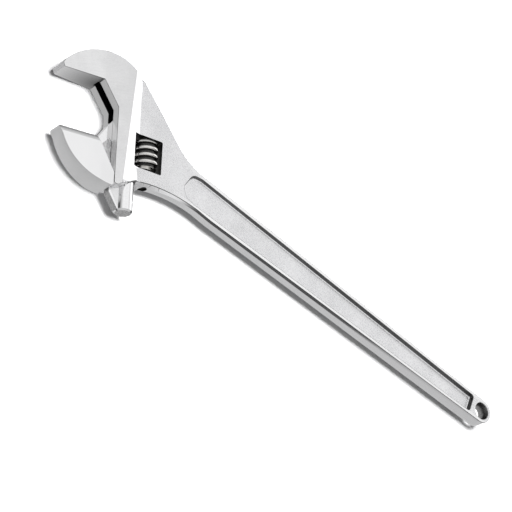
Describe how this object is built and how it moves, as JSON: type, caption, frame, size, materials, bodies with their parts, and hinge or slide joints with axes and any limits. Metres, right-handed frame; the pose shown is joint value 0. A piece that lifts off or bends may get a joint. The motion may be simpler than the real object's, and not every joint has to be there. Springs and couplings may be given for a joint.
{
  "type": "adjustable wrench",
  "caption": "Large adjustable wrench: forged body with a fixed jaw and recessed handle, a sliding jaw with a rack and round slide bar, and a worm on a spring-loaded pin.",
  "frame": {"origin": "centre of the hanging hole on the tool's mid-plane", "axes": "+X along the handle from the hanging hole towards the head, +Z through the thickness, +Y towards the side of the movable jaw"},
  "size_m": [0.6117, 0.1473, 0.0284],
  "materials": {
    "satin_chrome": "satin chrome plate on forged steel, with fine-ground and polished head faces",
    "polished_chrome": "polished chrome plate with fine-ground faces",
    "worm_steel": "turned steel with a thin oil film",
    "pin_steel": "dark oiled steel screw",
    "spring_steel": "bright spring wire"
  },
  "bodies": {
    "body": {"forged_body": "satin_chrome", "worm_pin": "pin_steel", "worm_spring": "spring_steel"},
    "jaw": {"movable_jaw": "polished_chrome"},
    "worm": {"worm": "worm_steel"}
  },
  "joints": [
    {"name": "jaw_slide", "type": "slide", "parent": "body", "child": "jaw", "axis": [-0.3551, 0.9348, 0], "range_m": [-0.0624, 0]},
    {"name": "worm_spin", "type": "hinge", "parent": "body", "child": "worm", "pos_m": [0.4776, 0.00235, 0], "axis": [-0.3551, 0.9348, 0], "range_deg": [0, 3000]}
  ],
  "couplings": [
    {"joint": "worm_spin", "follows": "jaw_slide", "rad_per_m": -837.76}
  ]
}
